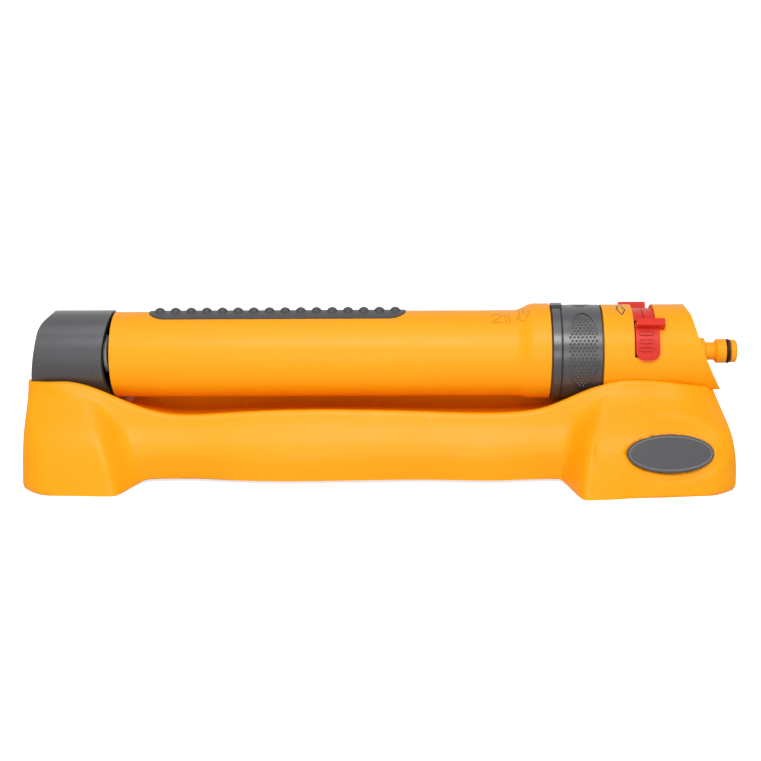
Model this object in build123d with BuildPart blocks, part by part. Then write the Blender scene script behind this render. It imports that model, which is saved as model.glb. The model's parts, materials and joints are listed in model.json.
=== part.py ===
from build123d import *
from math import cos, degrees, pi, radians, sin, sqrt, tan
import os

# Oscillating lawn sprinkler: a spray barrel swings about a lengthwise axis between an end cap and
# a control housing, both carried by a moulded base on two splayed feet. A small water turbine and
# its gear train ride in the barrel's neck and walk it round a fixed gear on the inlet spindle.
# Millimetres, +X towards the hose inlet, -Y to the front, +Z up, origin under the middle of the
# base at ground level.

os.makedirs("parts", exist_ok=True)

# General fits and walls
running_gap = 0.3
seat_gap = 0.2
plate_gap = 0.15
shell_wall = 2.6
case_wall = 2.2

# Stance
axis_height = 78.0
base_left = -232.2
base_right = 224.6
beam_lift = 2.5

# Base form: crest, waist and hem of the cross-section on the beam and on the two feet
beam_crest = 45.0
foot_crest = 66.0
trough_floor = 38.0
saddle_floor = 56.0
crest_round = 4.0
beam_shoulder = 33.0
foot_shoulder = 32.0
beam_waist = 41.5
left_waist = 50.0
right_waist = 56.0
beam_waist_height = 24.0
foot_waist_height = 38.0
beam_hem = 41.0
left_hem = 66.0
right_hem = 73.0
left_hem_taper = 4.0
right_hem_taper = 9.0
left_taper_run = (190.0, 250.0)
right_taper_run = (130.0, 240.0)
right_crest_droop = 8.0
left_rise = (-208.0, -140.0)
right_rise = (88.0, 158.0)
left_flare = (-184.0, -148.0)
right_flare = (104.0, 132.0)
hem_depth = 6.0
corner_run = 14.0
corner_depth = 6.0
lean_start = 12.0
end_lean = 10.6
rib_wall = 1.8
rib_foot = 7.0
rib_pitch = 41.0
long_rib_offset = 21.0

# Spray barrel
barrel_left = -178.0
barrel_radius = 28.3
barrel_drop = 0.7
barrel_wall = 2.2
flare_start = 84.5
flare_length = 16.0
flare_radius = 31.2
flare_lift = 0.8
flare_end = 108.9
neck_radius = 26.9
neck_wall = 2.2

# Nozzle strip
jet_count = 16
jet_pitch = 10.39
first_jet = -147.9
strip_width = 22.0
strip_margin = 7.0
strip_proud = 0.7
strip_depth = 2.2
strip_ledge = 2.5
dome_radius = 3.75
dome_height = 2.4
dome_steps = ((1.0, 0.0), (0.93, 0.42), (0.68, 0.8), (0.28, 1.0))
jet_radius = 0.45

# Selector collar
collar_length = 32.7
collar_radius = 31.0
collar_gap = 0.7
collar_bevel = 0.8
groove_offset = 6.4
groove_sink = 0.7
nub_length = 7.4
nub_width = 7.0
nub_height = 1.5
grip_count = 3
grip_angle = 76.0
grip_width = 21.0
grip_reach = 50.0
grip_sink = 0.5
selector_half_turn = 60.0
key_angle = 16.0
key_slack = 0.4
key_depth = 1.3

# End cap
cap_left = -230.0
cap_top_left = -224.3
cap_mouth = -179.0
cap_mouth_radius = 105.0
cap_radius = 28.8
cap_wall = 2.4
cap_corner = 12.0
cap_crown = 0.3
spigot_radius = 8.0
spigot_length = 23.0
bush_wall = 1.8
hub_wall = 2.4

# Control housing
housing_radius = 31.0
housing_wall = 2.2
housing_gap = 0.6
face_top = (199.4, 29.0)
face_middle = 208.9
face_low = (222.0, -25.0)
face_corner = 6.0
skirt_height = 58.2
skirt_setback = 212.0
slot_x = 169.2
slot_width = 14.2
slot_half_turn = 84.0
web_x = 187.0
web_wall = 2.4

# Limit sliders
slider_width = 15.3
slider_shift = 1.1
slider_skin_inner = 31.25
slider_skin_outer = 33.3
slider_top_angle = 42.5
slider_low_angle = 87.0
slider_nose = 6.0
lip_length = 18.0
lip_shift = 3.0
lip_radius = 38.0
lip_thickness = 5.0
oblong_angles = (56.4, 66.0, 74.6)
oblong_length = 8.5
oblong_width = 2.8
oblong_rim = 0.5
band_inner = 27.0
band_outer = 28.5
band_grip = 1.1
band_start = -32.0
band_end = 92.0
lug_angle = 54.0
lug_sweep = 4.0
lug_inner = 23.6
lug_setback = 2.0
slider_neck_end = 60.0
bite = 0.3

# Hose inlet
nose_root_end = 211.0
nose_neck_start = 212.2
nose_neck_end = 217.5
nose_land_start = 219.3
nose_end = 232.2
nose_root_radius = 8.7
nose_neck_radius = 5.8
nose_land_radius = 7.9
nose_tip_step = 0.4
nose_chamfer = 0.9
nose_bore = 4.5
groove_start = 225.1
groove_width = 3.2
groove_radius = 5.7
ring_radius = 1.2
socket_start = 196.0
socket_wall = 2.4
spindle_radius = 8.0
spindle_bore = 5.5

# Water motor
module = 0.6
pinion_teeth = 12
wheel_teeth = 30
pressure_angle = 25.0
backlash = 0.16
pin_radius = 1.0
pin_gap = 0.12
gear_width = 2.6
gear_step = 3.4
case_radius = 24.5
case_thickness = 1.5
turbine_x = 114.5
turbine_width = 6.0
turbine_radius = 20.0
blade_count = 12
blade_wall = 1.1
plate_wall = 1.5

# Trip lever
lever_pivot = 16.0
lever_hub = 3.0
lever_start = 147.6
lever_wall = 2.6
finger_end = 173.3
finger_inner = 23.9
finger_outer = 26.2
finger_half_turn = 2.5

# Screws and badge
screw_radius = 1.7
screw_head = 3.4
screw_head_height = 2.0
screw_length = 22.0
screw_seat = 35.0
boss_radius = 4.4
cap_screw_x = -211.0
housing_screws_x = (157.0, 199.0)
screw_offset = 13.0
badge_x = 182.1
badge_height = 26.8
badge_half_length = 27.2
badge_half_height = 12.0
badge_thickness = 3.0
badge_proud = 0.5

swing = Axis((0, 0, axis_height), (1, 0, 0))
lengthwise = Plane((0, 0, axis_height), x_dir=(1, 0, 0), z_dir=(0, -1, 0))
barrel_centre = axis_height - barrel_drop
collar_left = flare_end + collar_gap
collar_right = collar_left + collar_length
housing_left = collar_right + housing_gap
neck_right = housing_left + case_thickness


def circle_through(first, second, third):
    """Centre and radius of the circle through three points."""
    (ax, ay), (bx, by), (cx, cy) = first, second, third
    span = 2 * (ax * (by - cy) + bx * (cy - ay) + cx * (ay - by))
    a, b, c = ax**2 + ay**2, bx**2 + by**2, cx**2 + cy**2
    x = (a * (by - cy) + b * (cy - ay) + c * (ay - by)) / span
    y = (a * (cx - bx) + b * (ax - cx) + c * (bx - ax)) / span
    return (x, y), sqrt((ax - x) ** 2 + (ay - y) ** 2)


face_centre, face_radius = circle_through(face_top, (face_middle, 0.0), face_low)
reach = right_hem + 20
nub_turn = degrees(nub_width / 2 / collar_radius)
key_turns = (180 - key_angle / 2, 180 + key_angle / 2)
disc_turns = (key_turns[0] + key_slack, key_turns[1] - key_slack)
groove_x = collar_left + groove_offset
grip_x = (groove_x + groove_sink + collar_right) / 2
selector_window = (180 - selector_half_turn - key_angle, 180 + selector_half_turn + key_angle)


def across(x, rise=0.0):
    """Plane square to the swing axis at x, its origin a given height above that axis."""
    return Plane((x, 0, axis_height + rise), x_dir=(0, 1, 0), z_dir=(1, 0, 0))


def polar(radius, angle):
    """Point of such a plane at an angle from straight up, turning towards the front."""
    return (-radius * sin(radians(angle)), radius * cos(radians(angle)))


def sector(x, length, inner, outer, start, end):
    """Ring segment along the swing axis from x, between two angles from straight up."""
    middle = (start + end) / 2
    with BuildPart() as segment:
        with BuildSketch(across(x)):
            with BuildLine():
                ThreePointArc(polar(inner, start), polar(inner, middle), polar(inner, end))
                ThreePointArc(polar(outer, start), polar(outer, middle), polar(outer, end))
                Line(polar(inner, start), polar(outer, start))
                Line(polar(inner, end), polar(outer, end))
            make_face()
        extrude(amount=length)
    return segment.part


def ease(x, start, end):
    """Smooth step from 0 to 1 between two stations."""
    share = min(1.0, max(0.0, (x - start) / (end - start)))
    return share * share * (3 - 2 * share)


def blend(x, beam, left, right, left_run=left_rise, right_run=right_rise):
    """Value of the beam that eases to the left and right feet."""
    to_left = (left - beam) * (1 - ease(x, *left_run))
    return beam + to_left + (right - beam) * ease(x, *right_run)


def right_end(height):
    """Station of the base's right end, which leans in above its upright foot."""
    climb = max(0.0, height - lean_start) / (skirt_height - lean_start)
    return base_right - end_lean * climb * climb


def corner_cut(x, height, inset):
    """How far the rounded plan corner draws the section in, near either end."""
    depth = right_end(height) - inset - x if x > 0 else x - base_left - inset
    share = 1 - min(corner_run, max(-corner_run / 4, depth)) / corner_run
    return corner_depth * share * share


def base_section(x, inset=0.0):
    """Cross-section of the base at x, set in by a wall and reaching below the ground."""
    crest = blend(x, beam_crest, foot_crest, foot_crest)
    crest -= right_crest_droop * ease(x, right_rise[1] + 7, base_right + 20) + inset
    dip = blend(x, trough_floor, saddle_floor, saddle_floor) - inset
    shoulder = blend(x, beam_shoulder, foot_shoulder, foot_shoulder) - inset
    shoulder -= corner_cut(x, crest, inset)
    waist = blend(x, beam_waist, left_waist, right_waist, (-190, -150), (102, 140)) - inset
    waist_height = blend(x, beam_waist_height, foot_waist_height, foot_waist_height)
    waist -= corner_cut(x, waist_height, inset)
    hem = blend(x, beam_hem, left_hem, right_hem, left_flare, right_flare) - inset
    hem -= left_hem_taper * ease(-x, *left_taper_run)
    hem -= right_hem_taper * ease(x, *right_taper_run)
    hem -= corner_cut(x, 0, inset)
    slope = (waist - hem, waist_height)
    foot = hem - slope[0] * hem_depth / waist_height
    land = shoulder - crest_round
    with BuildSketch(Plane.YZ.offset(x)) as section:
        with BuildLine():
            for side in (1, -1):
                Spline(
                    (side * foot, -hem_depth),
                    (side * waist, waist_height),
                    (side * shoulder, crest - crest_round),
                    (side * land, crest),
                    tangents=[(side * slope[0], slope[1]), (-side, 0)],
                )
            Line((-foot, -hem_depth), (foot, -hem_depth))
            ThreePointArc((-land, crest), (0, dip), (land, crest))
        make_face()
    return section.sketch


def base_profile(inset=0.0):
    """Side view of the base: the two ends, the two feet and the lifted beam between them."""
    low = -hem_depth if inset else 0.0
    lift = low + beam_lift
    top = foot_crest + 12
    right = base_right - inset
    left = base_left + inset
    with BuildSketch(Plane.XZ.offset(-reach)) as profile:
        with BuildLine():
            Bezier(
                (right, lean_start),
                (right, (lean_start + top) / 2),
                (right_end(top) - inset, top),
            )
            Polyline((right_end(top) - inset, top), (left, top), (left, low))
            Polyline((left, low), (left_flare[0], low), (left_flare[1], lift))
            Polyline((left_flare[1], lift), (right_flare[0], lift), (right_flare[1], low))
            Polyline((right_flare[1], low), (right, low), (right, lean_start))
        make_face()
    return profile.sketch


def base_stations():
    """Stations of the sections: close together at the ends and where the feet rise."""
    left = [base_left - 4, base_left + 5, base_left + corner_run + 1]
    middle = [-205, -186, -168, -146, -100, 40, 86, 104, 118, 132, 152, 180]
    right = [base_right - 24, base_right - corner_run + 1, base_right - 5, base_right + 4]
    return left + middle + right


def base_form(inset=0.0):
    """Loft the base's outside, or the inside of its wall."""
    with BuildPart() as form:
        for x in base_stations():
            add(base_section(x, inset))
        loft()
        add(base_profile(inset))
        extrude(amount=2 * reach, dir=(0, -1, 0), mode=Mode.INTERSECT)
    return form.part


# Badge seat: a plane square to the flank of the right foot
def flank(x, height):
    """Half width of the base's outside at a station and a height."""
    level = Edge.make_line((x, 0, height), (x, -reach, height))
    inside = base_section(x).face().intersect(level)
    return -inside.vertices().sort_by(Axis.Y)[0].Y


span = badge_half_length / 2
flank_turn = flank(badge_x + span, badge_height) - flank(badge_x - span, badge_height)
flank_turn /= 2 * span
span = badge_half_height / 2
flank_lean = flank(badge_x, badge_height + span) - flank(badge_x, badge_height - span)
flank_lean /= 2 * span
badge_plane = Plane(
    (badge_x, -flank(badge_x, badge_height), badge_height),
    x_dir=(1, -flank_turn, 0),
    z_dir=(-flank_turn, -1, -flank_lean),
)

# Base: a shell open below, ribbed both ways, with saddles for what lies on it and screw bosses
rib_count = int((base_right - base_left) // rib_pitch)
cap_screws = [(cap_screw_x, side * screw_offset) for side in (-1, 1)]
housing_screws = [(x, side * screw_offset) for x in housing_screws_x for side in (-1, 1)]
screw_places = cap_screws + housing_screws

saddles = (
    (cap_left - seat_gap, barrel_left, cap_radius + seat_gap),
    (barrel_left, flare_start, barrel_radius + barrel_drop + running_gap + 1),
    (flare_start, housing_left - seat_gap, flare_radius + flare_lift + running_gap + 0.7),
    (housing_left - seat_gap, skirt_setback + seat_gap, housing_radius + seat_gap),
)


def saddle_cut(wall=0.0):
    """Stepped cylinder that the moving barrel and the fixed cases lie in."""
    with BuildPart() as cut:
        for start, end, radius in saddles:
            with BuildSketch(across(start - wall)):
                Circle(radius + wall)
            extrude(amount=end - start + 2 * wall)
    return cut.part


with BuildPart() as cavity:
    add(base_form(shell_wall))
    add(saddle_cut(shell_wall), mode=Mode.SUBTRACT)
    for index in range(1, rib_count + 1):
        x = base_left + index * (base_right - base_left) / (rib_count + 1)
        with BuildSketch(Plane.XY.offset(rib_foot)):
            with Locations((x, 0)):
                Rectangle(rib_wall, 2 * reach)
        extrude(amount=foot_crest, mode=Mode.SUBTRACT)
    with BuildSketch(Plane.XY.offset(rib_foot)):
        with Locations((0, long_rib_offset), (0, -long_rib_offset)):
            Rectangle(3 * reach * 2, rib_wall)
    extrude(amount=foot_crest, mode=Mode.SUBTRACT)
    with BuildSketch(Plane.XY.offset(screw_seat)):
        with Locations(*screw_places):
            Circle(boss_radius)
    extrude(amount=foot_crest, mode=Mode.SUBTRACT)
    with BuildSketch(badge_plane.offset(-badge_thickness - shell_wall)):
        Ellipse(badge_half_length + shell_wall, badge_half_height + shell_wall)
    extrude(amount=2 * shell_wall + badge_thickness, mode=Mode.SUBTRACT)

with BuildPart() as base:
    add(base_form())
    add(saddle_cut(), mode=Mode.SUBTRACT)
    add(cavity.part, mode=Mode.SUBTRACT)
    with BuildSketch(Plane.XY.offset(skirt_height - seat_gap)):
        with Locations((skirt_setback + reach, 0)):
            Rectangle(2 * reach, 2 * reach)
    extrude(amount=foot_crest, mode=Mode.SUBTRACT)
    with BuildSketch(Plane.XY.offset(screw_seat - 1)):
        with Locations(*screw_places):
            Circle(screw_radius + plate_gap)
    extrude(amount=foot_crest, mode=Mode.SUBTRACT)
    with BuildSketch(badge_plane.offset(badge_proud - badge_thickness)):
        Ellipse(badge_half_length + plate_gap, badge_half_height + plate_gap)
    extrude(amount=badge_half_height, mode=Mode.SUBTRACT)
base.part.label = "base"
export_step(base.part, "parts/base.step")

with BuildPart() as badge:
    with BuildSketch(badge_plane.offset(badge_proud - badge_thickness)):
        Ellipse(badge_half_length, badge_half_height)
    extrude(amount=badge_thickness)
badge.part.label = "badge"
export_step(badge.part, "parts/badge.step")

# Spray barrel: a tube with a flared shoulder, stepped down to the neck that holds the motor
strip_start = first_jet - strip_margin
strip_length = 2 * strip_margin + (jet_count - 1) * jet_pitch
barrel_inner = barrel_radius - barrel_wall
neck_inner = neck_radius - neck_wall
flare_stations = [(0.0, 0.0), (0.3, 0.16), (0.7, 0.84), (1.0, 1.0)]


def strip_outline(margin=0.0):
    """Plan outline of the nozzle strip, round-ended, above the barrel."""
    with BuildSketch(Plane.XY.offset(axis_height)) as outline:
        with Locations((strip_start + strip_length / 2, 0)):
            SlotOverall(strip_length + 2 * margin, strip_width + 2 * margin)
    return outline.sketch


def shell_ring(inner, outer, rise=-barrel_drop):
    """Tube along the barrel between two radii, for trimming what follows its skin."""
    with BuildPart() as ring:
        with BuildSketch(across(barrel_left, rise)):
            Circle(outer)
            Circle(inner, mode=Mode.SUBTRACT)
        extrude(amount=neck_right - barrel_left)
    return ring.part


strip_floor = barrel_radius + strip_proud - strip_depth

with BuildPart() as strip_pocket:
    add(strip_outline(plate_gap))
    extrude(amount=2 * barrel_radius, dir=(0, 0, 1))
    add(shell_ring(strip_floor, 2 * barrel_radius), mode=Mode.INTERSECT)

with BuildPart() as spray_tube:
    with BuildSketch(across(barrel_left, -barrel_drop)):
        Circle(barrel_radius)
    extrude(amount=flare_start - barrel_left)
    for along, share in flare_stations:
        rise = share * (flare_lift + barrel_drop) - barrel_drop
        with BuildSketch(across(flare_start + along * flare_length, rise)):
            Circle(barrel_radius + share * (flare_radius - barrel_radius))
    loft()
    with BuildSketch(across(flare_start + flare_length, flare_lift)):
        Circle(flare_radius)
    extrude(amount=flare_end - flare_start - flare_length)
    with BuildSketch(across(flare_end)):
        Circle(neck_radius)
    extrude(amount=neck_right - flare_end)
    with BuildSketch(across(barrel_left, -barrel_drop)):
        Circle(barrel_inner)
    extrude(amount=flare_end - barrel_wall - barrel_left, mode=Mode.SUBTRACT)
    with BuildSketch(across(flare_end - barrel_wall)):
        Circle(neck_inner)
    extrude(amount=neck_right - flare_end + barrel_wall, mode=Mode.SUBTRACT)
    add(strip_outline(-strip_ledge))
    extrude(amount=barrel_radius, dir=(0, 0, 1), mode=Mode.SUBTRACT)
    add(strip_pocket.part, mode=Mode.SUBTRACT)
    window_length = case_thickness + 2 * plate_gap
    window = sector(collar_left, window_length, neck_inner - 1, neck_radius + 1, *selector_window)
    add(window, mode=Mode.SUBTRACT)
spray_tube.part.label = "spray_tube"
export_step(spray_tube.part, "parts/spray_tube.step")

# Rubber nozzle strip, pressed into the barrel's top, with a hollow dome for every jet
with BuildPart() as nozzle_strip:
    add(strip_outline())
    extrude(amount=2 * barrel_radius, dir=(0, 0, 1))
    add(shell_ring(strip_floor, barrel_radius + strip_proud), mode=Mode.INTERSECT)
    dome_foot = barrel_radius - strip_depth / 4
    dome_rise = barrel_radius + strip_proud + dome_height - dome_foot
    for index in range(jet_count):
        x = first_jet + index * jet_pitch
        with BuildSketch(Plane((x, 0, barrel_centre), x_dir=(1, 0, 0), z_dir=(0, -1, 0))):
            dome = [(a * dome_radius, dome_foot + b * dome_rise) for a, b in dome_steps]
            with BuildLine():
                Polyline((0, dome_foot), *dome, (0, dome_foot + dome_rise), close=True)
            make_face()
        revolve(axis=Axis((x, 0, 0), (0, 0, 1)))
    with BuildSketch(Plane.XY.offset(axis_height)):
        with Locations(*[(first_jet + index * jet_pitch, 0) for index in range(jet_count)]):
            RegularPolygon(jet_radius, 8)
    extrude(amount=2 * barrel_radius, mode=Mode.SUBTRACT)
nozzle_strip.part.label = "nozzle_strip"
export_step(nozzle_strip.part, "parts/nozzle_strip.step")


def turned(*rings):
    """Stack of tubes along the swing axis, each from x to x between two radii."""
    with BuildPart() as stack:
        for start, end, inner, outer in rings:
            with BuildSketch(across(start)):
                Circle(outer)
                if inner:
                    Circle(inner, mode=Mode.SUBTRACT)
            extrude(amount=end - start)
    return stack.part


def save(part, name):
    """Name a finished piece and write it."""
    part.label = name
    export_step(part, f"parts/{name}.step")


# Plug in the barrel's free end, with the spigot that turns in the end cap's bush
plug_end = barrel_left + 6
spigot_end = barrel_left - spigot_length
with BuildPart() as tube_end_plug:
    with BuildSketch(across(barrel_left + plate_gap, -barrel_drop)):
        Circle(barrel_inner - plate_gap)
    extrude(amount=plug_end - barrel_left)
    with BuildSketch(across(barrel_left + case_wall, -barrel_drop)):
        Circle(barrel_inner - plate_gap - case_wall)
    extrude(amount=plug_end - barrel_left, mode=Mode.SUBTRACT)
    add(turned((spigot_end, barrel_left + 1, spigot_radius - case_wall, spigot_radius)))
    with BuildSketch(across(spigot_end)):
        Circle(spigot_radius)
    extrude(amount=case_wall)
save(tube_end_plug.part, "tube_end_plug")

bush_inner = spigot_radius + running_gap / 2
bush_outer = bush_inner + bush_wall
bush_right = barrel_left - 5
bush_left = spigot_end - 2
save(
    turned(
        (bush_left, bush_right, bush_inner, bush_outer),
        (bush_right - bush_wall, bush_right, bush_inner, bush_outer + 2),
    ),
    "end_bush",
)


def cap_form(inset=0.0):
    """End cap's outside, or the inside of its wall: a drum with a sloped, rounded end."""
    low = -cap_radius - 1
    top = cap_radius - inset + cap_crown
    lean = (cap_top_left - cap_left) / 38
    with BuildPart() as drum:
        with BuildSketch(across(cap_left - 5)):
            Circle(cap_radius - inset)
        extrude(amount=cap_mouth - cap_left + 5 + 2 * inset)
        with BuildSketch(lengthwise.offset(-cap_radius)):
            with BuildLine():
                FilletPolyline(
                    (cap_mouth + 5, low),
                    (cap_left + inset, low),
                    (cap_left + inset, -12),
                    (cap_left + lean * (12 + cap_radius) + inset, top),
                    (cap_mouth + 5, top),
                    radius=[2, 9, cap_corner],
                )
                Line((cap_mouth + 5, top), (cap_mouth + 5, low))
            make_face()
        extrude(amount=2 * cap_radius, dir=(0, -1, 0), mode=Mode.INTERSECT)
    return drum.part


cap_hub = bush_outer + plate_gap
with BuildPart() as end_cap:
    add(cap_form())
    add(cap_form(cap_wall), mode=Mode.SUBTRACT)
    add(turned((cap_left + cap_wall, bush_right - bush_wall, cap_hub, cap_hub + hub_wall)))
    with BuildSketch(Plane.XY.offset(axis_height - cap_radius + 1)):
        with Locations(*cap_screws):
            Circle(boss_radius)
    extrude(amount=screw_seat + screw_length - axis_height + cap_radius)
    add(cap_form(), mode=Mode.INTERSECT)
    with BuildSketch(Plane.XY):
        with Locations((cap_mouth - cap_mouth_radius, 0)):
            Circle(cap_mouth_radius)
    extrude(amount=2 * axis_height, mode=Mode.INTERSECT)
    with BuildSketch(Plane.XY):
        with Locations(*cap_screws):
            Circle(screw_radius)
    extrude(amount=screw_seat + screw_length, mode=Mode.SUBTRACT)
save(end_cap.part, "end_cap")

with BuildPart() as case_screws:
    with BuildSketch(Plane.XY.offset(screw_seat)):
        with Locations(*screw_places):
            Circle(screw_radius - plate_gap)
    extrude(amount=screw_length - 1)
    with BuildSketch(Plane.XY.offset(screw_seat)):
        with Locations(*screw_places):
            Circle(screw_head)
    extrude(amount=-screw_head_height)
save(case_screws.part, "case_screws")


def face_x(rise, inset=0.0):
    """Station of the housing's hollow-curved end face at a height above the axis."""
    radius = face_radius + inset
    return face_centre[0] - sqrt(radius**2 - (rise - face_centre[1]) ** 2)


def housing_form(inset=0.0):
    """Housing's outside, or the inside of its wall: a drum with a hollow-curved end."""
    start = housing_left - 2 * inset
    radius = housing_radius - inset
    with BuildPart() as drum:
        with BuildSketch(across(start)):
            Circle(radius)
        extrude(amount=face_x(-radius) - start + 5)
        with BuildSketch(lengthwise.offset(-radius)):
            with BuildLine():
                ThreePointArc(
                    (face_x(radius, inset), radius),
                    (face_x(0, inset), 0),
                    (face_x(-radius, inset), -radius),
                )
                Polyline(
                    (face_x(-radius, inset), -radius),
                    (start - 1, -radius),
                    (start - 1, radius),
                    (face_x(radius, inset), radius),
                )
            make_face()
            corner = vertices().sort_by(Axis.Z)[-2:].sort_by(Axis.X)[-1]
            fillet(corner, face_corner - inset)
        extrude(amount=2 * radius, dir=(0, -1, 0), mode=Mode.INTERSECT)
        with BuildSketch(Plane.XY):
            with Locations((skirt_setback - inset + reach, 0)):
                Rectangle(2 * reach, 2 * reach)
        extrude(amount=skirt_height + inset, mode=Mode.SUBTRACT)
    return drum.part


socket_outer = spindle_radius + plate_gap + socket_wall
socket_end = face_x(socket_outer, housing_wall) - seat_gap
slot_left = slot_x - slot_width / 2
with BuildPart() as control_housing:
    add(housing_form())
    add(housing_form(housing_wall), mode=Mode.SUBTRACT)
    inner_skin = housing_radius - housing_wall
    add(turned((web_x, web_x + web_wall, spindle_radius + plate_gap, inner_skin + 0.5)))
    with BuildSketch(across(web_x)):
        with PolarLocations(inner_skin * 0.64, 6):
            Circle(inner_skin * 0.18)
    extrude(amount=web_wall, mode=Mode.SUBTRACT)
    add(
        turned(
            (socket_start + 3, socket_end + 1, socket_outer + plate_gap, socket_outer + 2),
        )
    )
    with BuildSketch(Plane.XY.offset(axis_height - housing_radius + 1)):
        with Locations(*housing_screws):
            Circle(boss_radius)
    extrude(amount=screw_seat + screw_length - axis_height + housing_radius)
    add(housing_form(), mode=Mode.INTERSECT)
    with BuildSketch(Plane.XY):
        with Locations(*housing_screws):
            Circle(screw_radius)
    extrude(amount=screw_seat + screw_length, mode=Mode.SUBTRACT)
    with BuildSketch(across(socket_end)):
        Circle(nose_root_radius + plate_gap)
    extrude(amount=reach, mode=Mode.SUBTRACT)
    slot_turns = (-slot_half_turn, slot_half_turn)
    slot = sector(slot_left, slot_width, inner_skin - 1, housing_radius + 1, *slot_turns)
    add(slot, mode=Mode.SUBTRACT)
save(control_housing.part, "control_housing")

# Hose nose with its socket for the spindle, O-ring and filter
nose_tip_radius = nose_land_radius - nose_tip_step
nose_profile = [
    (socket_start, socket_outer),
    (socket_end, socket_outer),
    (socket_end, nose_root_radius),
    (nose_root_end, nose_root_radius),
    (nose_neck_start, nose_neck_radius),
    (nose_neck_end, nose_neck_radius),
    (nose_land_start, nose_land_radius),
    (groove_start, nose_land_radius),
    (groove_start, groove_radius),
    (groove_start + groove_width, groove_radius),
    (groove_start + groove_width, nose_tip_radius),
    (nose_end - nose_chamfer, nose_tip_radius),
    (nose_end, nose_tip_radius - nose_chamfer),
    (nose_end, nose_bore),
    (socket_end, nose_bore),
    (socket_end, spindle_radius + plate_gap),
    (socket_start, spindle_radius + plate_gap),
]
with BuildPart() as hose_inlet:
    with BuildSketch(lengthwise):
        with BuildLine():
            Polyline(*nose_profile, close=True)
        make_face()
    revolve(axis=swing)
save(hose_inlet.part, "hose_inlet")

with BuildPart() as inlet_o_ring:
    with BuildSketch(lengthwise):
        with Locations((groove_start + groove_width / 2, groove_radius + ring_radius)):
            RegularPolygon(ring_radius, 12)
    revolve(axis=swing)
save(inlet_o_ring.part, "inlet_o_ring")

filter_end = groove_start - 1
filter_length = 12.0
filter_wall = 0.6
filter_bore = 2.4
filter_start = filter_end - filter_length
with BuildPart() as inlet_filter:
    add(
        turned(
            (filter_end - filter_wall, filter_end, filter_bore, nose_bore - plate_gap),
            (filter_start, filter_end, filter_bore, filter_bore + filter_wall),
            (filter_start, filter_start + filter_wall, 0, filter_bore + filter_wall),
        )
    )
save(inlet_filter.part, "inlet_filter")

# Water motor, laid out from the selector end of the neck to the fixed gear on the spindle
gear_centre = module * (pinion_teeth + wheel_teeth) / 2
case_left = collar_left + case_thickness + 2 * plate_gap + 0.6
case_right = neck_right - 2.5
case_bore = case_radius - case_thickness
jet_x = turbine_x + turbine_width + 1
train_x = jet_x + plate_wall + 1
plate_x = train_x + 3 * gear_step
sun_x = plate_x + plate_wall + 0.9
sun_width = case_right - sun_x - 1
disc_radius = case_bore - plate_gap
through = module * (pinion_teeth / 2 + 0.9) + 0.5


def toothed(x, length, teeth, turn, lift=0.0):
    """Spur gear along the swing axis from x, a tooth facing the given angle from +Y."""
    pitch_radius = module * teeth / 2
    tip = pitch_radius + 0.9 * module
    root = pitch_radius - 1.15 * module
    half = pi / 2 / teeth - backlash / 2 / pitch_radius
    lean = tan(radians(pressure_angle)) / pitch_radius
    flank = [
        (root, -half - lean * (pitch_radius - root)),
        (tip, -half + lean * (tip - pitch_radius)),
        (tip, half - lean * (tip - pitch_radius)),
        (root, half + lean * (pitch_radius - root)),
    ]
    points = []
    for tooth in range(teeth):
        middle = radians(turn) + 2 * pi * tooth / teeth
        points += [(r * cos(middle + a), r * sin(middle + a)) for r, a in flank]
    with BuildPart() as gear:
        with BuildSketch(across(x, lift)):
            with BuildLine():
                Polyline(*points, close=True)
            make_face()
        extrude(amount=length)
    return gear.part


# The offset pin lies straight below the axle: -90 is down and 90 is up in the gear planes
down, up = -90.0, 90.0
half_wheel_tooth = 180 / wheel_teeth


def gear_pair(index, partner, lift, pinion_end):
    """Wheel and pinion of one stage, meshing towards the other pin."""
    start = train_x + index * gear_step
    with BuildPart() as pair:
        add(toothed(start, gear_width, wheel_teeth, partner + half_wheel_tooth, lift))
        pinion_start = start + gear_width
        add(toothed(pinion_start, pinion_end - pinion_start, pinion_teeth, partner, lift))
        with BuildSketch(across(start, lift)):
            Circle(pin_radius + pin_gap)
        extrude(amount=reach, mode=Mode.SUBTRACT)
    return pair.part


save(gear_pair(0, up, -gear_centre, train_x + 2 * gear_step - 0.4), "gear_a")
save(gear_pair(1, down, 0, train_x + 3 * gear_step - 0.4), "gear_b")
save(gear_pair(2, up, -gear_centre, sun_x + sun_width + 0.5), "gear_c")

with BuildPart() as turbine_wheel:
    with BuildSketch(across(turbine_x)):
        Circle(turbine_radius * 0.3)
        with PolarLocations(turbine_radius * 0.62, blade_count):
            Rectangle(turbine_radius * 0.76, blade_wall)
    extrude(amount=turbine_width)
    with BuildSketch(across(turbine_x)):
        Circle(turbine_radius)
        Circle(turbine_radius - 1, mode=Mode.SUBTRACT)
    extrude(amount=turbine_width)
    with BuildSketch(across(turbine_x + turbine_width)):
        Circle(module * pinion_teeth / 2 - 1.15 * module)
    extrude(amount=train_x - turbine_x - turbine_width)
    add(toothed(train_x, gear_width + 0.4, pinion_teeth, down))
    with BuildSketch(across(turbine_x - 1)):
        Circle(pin_radius + pin_gap)
    extrude(amount=reach, mode=Mode.SUBTRACT)
save(turbine_wheel.part, "turbine_wheel")

with BuildPart() as motor_case:
    add(turned((case_left, case_right, case_bore, case_radius)))
    add(turned((case_left, case_left + plate_wall, 0, 3.5)))
    with BuildSketch(across(case_left)):
        with PolarLocations(case_bore / 2, 3):
            Rectangle(case_bore, 2.4)
    extrude(amount=plate_wall)
    with BuildSketch(across(case_left)):
        Circle(pin_radius)
    extrude(amount=plate_wall, mode=Mode.SUBTRACT)
save(motor_case.part, "motor_case")

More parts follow.
